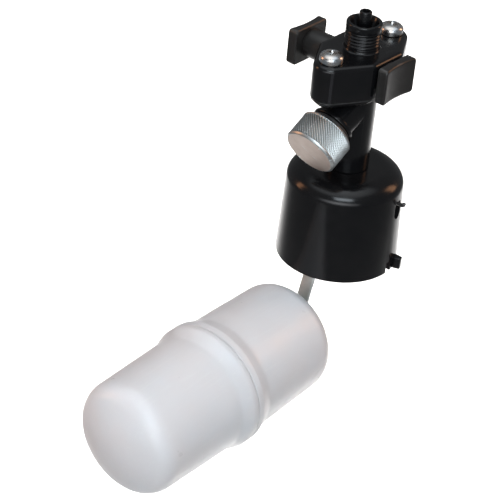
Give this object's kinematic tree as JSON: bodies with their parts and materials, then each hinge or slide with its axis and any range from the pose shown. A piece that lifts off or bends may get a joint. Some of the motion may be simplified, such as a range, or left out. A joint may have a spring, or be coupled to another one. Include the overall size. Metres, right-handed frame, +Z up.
{
  "type": "float valve",
  "caption": "Hanging float valve with threaded inlet, sliding shut-off with two thumb pads, angled strainer with knurled cap, bell hood, strip arm and milky cylindrical float.",
  "frame": {"origin": "on the inlet axis, at the head block's top face, where the threaded spigot begins", "axes": "+Z up along the inlet axis, +X towards the float, +Y towards the right-hand push pad (the shut-off slides along Y)"},
  "size_m": [0.1235, 0.0442, 0.1304],
  "materials": {
    "black_plastic": "smooth moulded gloss black",
    "pad_plastic": "moulded black, slightly duller than the body",
    "zinc_plate": "bright zinc plate",
    "knurled_aluminium": "knurled grip with turned, satin end face",
    "arm_steel": "dull rolled strip",
    "pin_steel": "drawn wire",
    "screen_steel": "fine woven mesh",
    "seat_brass": "turned",
    "seal_rubber": "black nitrile",
    "plunger_acetal": "natural acetal",
    "float_polyethylene": "milky, slightly translucent, natural polyethylene"
  },
  "bodies": {
    "valve": {"head_block": "black_plastic", "head_gasket": "seal_rubber", "head_screw_front": "zinc_plate", "head_screw_rear": "zinc_plate", "valve_body": "black_plastic", "strainer_cap_oring": "seal_rubber", "bell_hood": "black_plastic", "hood_nut": "black_plastic", "pivot_housing": "black_plastic", "valve_seat": "seat_brass", "seat_oring": "seal_rubber", "hinge_pin": "pin_steel"},
    "shutoff": {"shutoff_spool": "pad_plastic", "push_pad_left": "pad_plastic", "push_pad_right": "pad_plastic", "spool_oring_left": "seal_rubber", "spool_oring_middle": "seal_rubber", "spool_oring_right": "seal_rubber"},
    "strainer": {"strainer_screen": "screen_steel"},
    "cap": {"strainer_cap": "knurled_aluminium"},
    "plunger": {"plunger": "plunger_acetal", "plunger_seal": "seal_rubber"},
    "float": {"float_arm": "arm_steel", "float_screw": "zinc_plate", "float_shell_far": "float_polyethylene", "float_shell_near": "float_polyethylene"}
  },
  "joints": [
    {"name": "shutoff_slide", "type": "slide", "parent": "valve", "child": "shutoff", "axis": [0, 1, 0], "range_m": [0, 0.0065]},
    {"name": "arm_swing", "type": "hinge", "parent": "valve", "child": "float", "pos_m": [-0.0048, 0, -0.0496], "axis": [0, -1, 0], "range_deg": [0, 10]},
    {"name": "plunger_lift", "type": "slide", "parent": "valve", "child": "plunger", "axis": [0, 0, 1], "range_m": [0, 0.00085]},
    {"name": "strainer_draw", "type": "slide", "parent": "valve", "child": "strainer", "axis": [0.8746, 0, -0.4848], "range_m": [0, 0.004]},
    {"name": "cap_turn", "type": "hinge", "parent": "strainer", "child": "cap", "pos_m": [0, 0, -0.0177], "axis": [0.8746, 0, -0.4848], "range_deg": [0, 1440]}
  ],
  "couplings": [
    {"joint": "plunger_lift", "follows": "arm_swing", "m_per_rad": 0.0048},
    {"joint": "strainer_draw", "follows": "cap_turn", "m_per_rad": 0.00015915}
  ]
}
